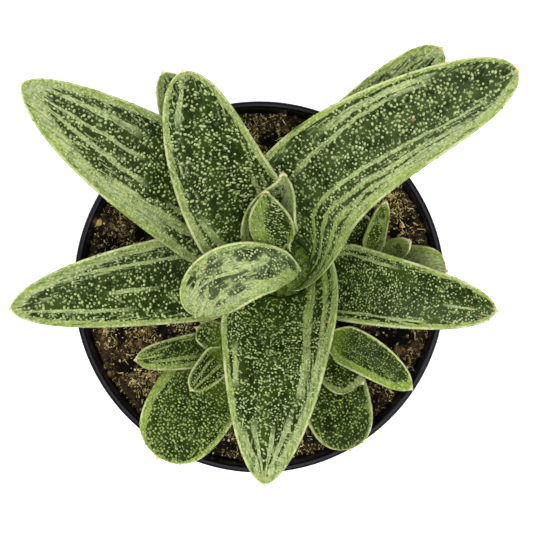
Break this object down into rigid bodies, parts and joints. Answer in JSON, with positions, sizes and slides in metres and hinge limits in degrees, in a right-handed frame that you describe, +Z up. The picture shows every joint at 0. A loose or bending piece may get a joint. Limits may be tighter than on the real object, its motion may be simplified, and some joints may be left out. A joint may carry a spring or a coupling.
{
  "type": "potted gasteria",
  "caption": "Mottled succulent with thick tongue-shaped leaves in a rosette and offset clusters beside it, growing in soil in a tapered nursery pot with a collar and a foot ring.",
  "frame": {"origin": "the pot's axis, in the plane that its foot ring and its middle stand on", "axes": "+Z up along the pot's axis; -Y towards the leaf that points at the viewer; +X to the right of the picture"},
  "size_m": [0.1364, 0.1186, 0.1487],
  "materials": {
    "pot_plastic": "satin",
    "soil": "matte",
    "stem": "satin",
    "leaf": "satin",
    "offset_leaf": "satin"
  },
  "bodies": {
    "root": {"pot": "pot_plastic", "soil": "soil", "main_stem": "stem", "leaf_north_west": "leaf", "leaf_west": "leaf", "leaf_north": "leaf", "leaf_north_low": "leaf", "leaf_north_east_low": "leaf", "leaf_north_east": "leaf", "leaf_east": "leaf", "leaf_south": "leaf", "leaf_heart_west": "leaf", "leaf_heart_north": "leaf", "leaf_heart_inner": "leaf", "offset_stem_south_west": "stem", "offset_leaf_1_west": "offset_leaf", "offset_leaf_1_south": "offset_leaf", "offset_leaf_1_heart": "offset_leaf", "offset_leaf_1_north": "offset_leaf", "offset_stem_south_east": "stem", "offset_leaf_2_east": "offset_leaf", "offset_leaf_2_low": "offset_leaf", "offset_leaf_2_south": "offset_leaf", "offset_stem_east": "stem", "offset_leaf_3_north": "offset_leaf", "offset_leaf_3_west": "offset_leaf", "offset_leaf_3_east": "offset_leaf", "offset_leaf_3_south": "offset_leaf"}
  },
  "joints": []
}
